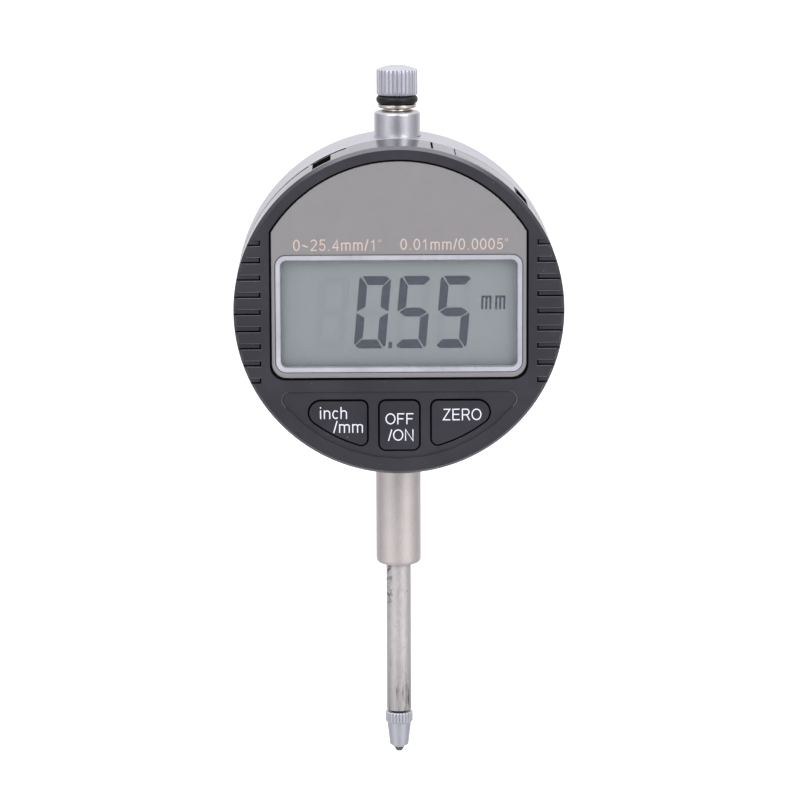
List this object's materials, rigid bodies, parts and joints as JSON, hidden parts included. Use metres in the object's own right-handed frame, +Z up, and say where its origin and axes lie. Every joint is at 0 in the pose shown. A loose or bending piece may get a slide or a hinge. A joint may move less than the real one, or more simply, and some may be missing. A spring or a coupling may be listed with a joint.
{
  "type": "digital dial indicator",
  "caption": "Digital dial indicator with a turning round display head, a clamping stem, a sprung spindle with a screw-in contact and a lug back.",
  "frame": {"origin": "on the spindle axis, half way along the straight part of the clamping stem", "axes": "+Z up along the spindle towards the lifting cap, -Y towards the dial side, +X to the right of the dial"},
  "size_m": [0.0572, 0.0412, 0.1244],
  "materials": {
    "cast_zinc": "satin silver paint over a die casting",
    "cover_metal": "satin",
    "screw_steel": "plain",
    "stem_steel": "fine ground",
    "bronze": "plain",
    "collar_steel": "satin turned",
    "black_rubber": "matt",
    "zinc_plate": "plated",
    "spring_steel": "plain",
    "circuit_board": "solder mask",
    "chip_black": "moulded",
    "polyimide": "satin film",
    "spindle_steel": "ground and polished",
    "nickel": "bright nickel plate",
    "cap_aluminium": "satin anodised",
    "contact_steel": "ground",
    "carbide": "fine ground carbide",
    "head_plastic": "semi-gloss moulded",
    "key_plastic": "fine matt",
    "inner_plastic": "matt",
    "washer_nylon": "natural",
    "panel_metal": "fine sandblasted, lacquered",
    "rim_plastic": "gloss",
    "lens_plastic": "clear",
    "lcd": "reflective liquid crystal cell",
    "elastomer": "silicone",
    "gold_plate": "gold flash",
    "silicone_mat": "silicone",
    "cell_steel": "bright"
  },
  "bodies": {
    "case": {"rear_housing": "cast_zinc", "back_cover": "cover_metal", "back_cover_screws": "screw_steel", "stem": "stem_steel", "lower_bush": "bronze", "top_collar": "collar_steel", "upper_bush": "bronze", "stop_bumper": "black_rubber", "guide_rail": "zinc_plate", "guide_rail_screws": "screw_steel", "spring_anchor": "zinc_plate", "return_spring": "spring_steel", "sensor_board": "circuit_board", "sensor_chip": "chip_black", "sensor_board_screws": "screw_steel", "flex_cable": "polyimide"},
    "plunger": {"spindle": "spindle_steel", "cap_seat": "nickel", "cap_o_ring": "black_rubber", "lifting_cap": "cap_aluminium", "contact_point": "contact_steel", "contact_tip": "carbide", "carriage": "zinc_plate", "carriage_screw": "screw_steel", "guide_pin": "spring_steel", "scale_strip": "circuit_board"},
    "head": {"front_bezel": "head_plastic", "head_back_plate": "inner_plastic", "back_plate_screws": "screw_steel", "hub_ring": "zinc_plate", "hub_ring_screws": "screw_steel", "turning_washer": "washer_nylon", "face_panel": "panel_metal", "window_rim": "rim_plastic", "window_lens": "lens_plastic", "lcd_glass": "lcd", "lcd_holder": "inner_plastic", "lcd_connectors": "elastomer", "display_board": "circuit_board", "board_screws": "screw_steel", "main_chip": "chip_black", "crystal": "cell_steel", "battery_contacts": "gold_plate", "data_socket": "chip_black", "data_contacts": "gold_plate", "key_mat": "silicone_mat"},
    "unit_key": {"key_unit": "key_plastic"},
    "power_key": {"key_power": "key_plastic"},
    "zero_key": {"key_zero": "key_plastic"},
    "battery_drawer": {"battery_door": "head_plastic", "button_cell": "cell_steel"}
  },
  "joints": [
    {"name": "spindle_slide", "type": "slide", "parent": "case", "child": "plunger", "axis": [0, 0, 1], "range_m": [0, 0.0254], "stiffness_N_per_m": 27.6, "springref_m": -0.018, "deforming": ["return_spring"]},
    {"name": "head_turn", "type": "hinge", "parent": "case", "child": "head", "pos_m": [0, 0, 0.03785], "axis": [0, 1, 0], "range_deg": [-135, 135]},
    {"name": "unit_key_press", "type": "slide", "parent": "head", "child": "unit_key", "axis": [0, 1, 0], "range_m": [0, 0.0005], "stiffness_N_per_m": 1500, "springref_m": -0.0003},
    {"name": "power_key_press", "type": "slide", "parent": "head", "child": "power_key", "axis": [0, 1, 0], "range_m": [0, 0.0005], "stiffness_N_per_m": 1500, "springref_m": -0.0003},
    {"name": "zero_key_press", "type": "slide", "parent": "head", "child": "zero_key", "axis": [0, 1, 0], "range_m": [0, 0.0005], "stiffness_N_per_m": 1500, "springref_m": -0.0003},
    {"name": "battery_drawer_out", "type": "slide", "parent": "head", "child": "battery_drawer", "axis": [0.5402, 0, 0.8415], "range_m": [0, 0.016]}
  ]
}
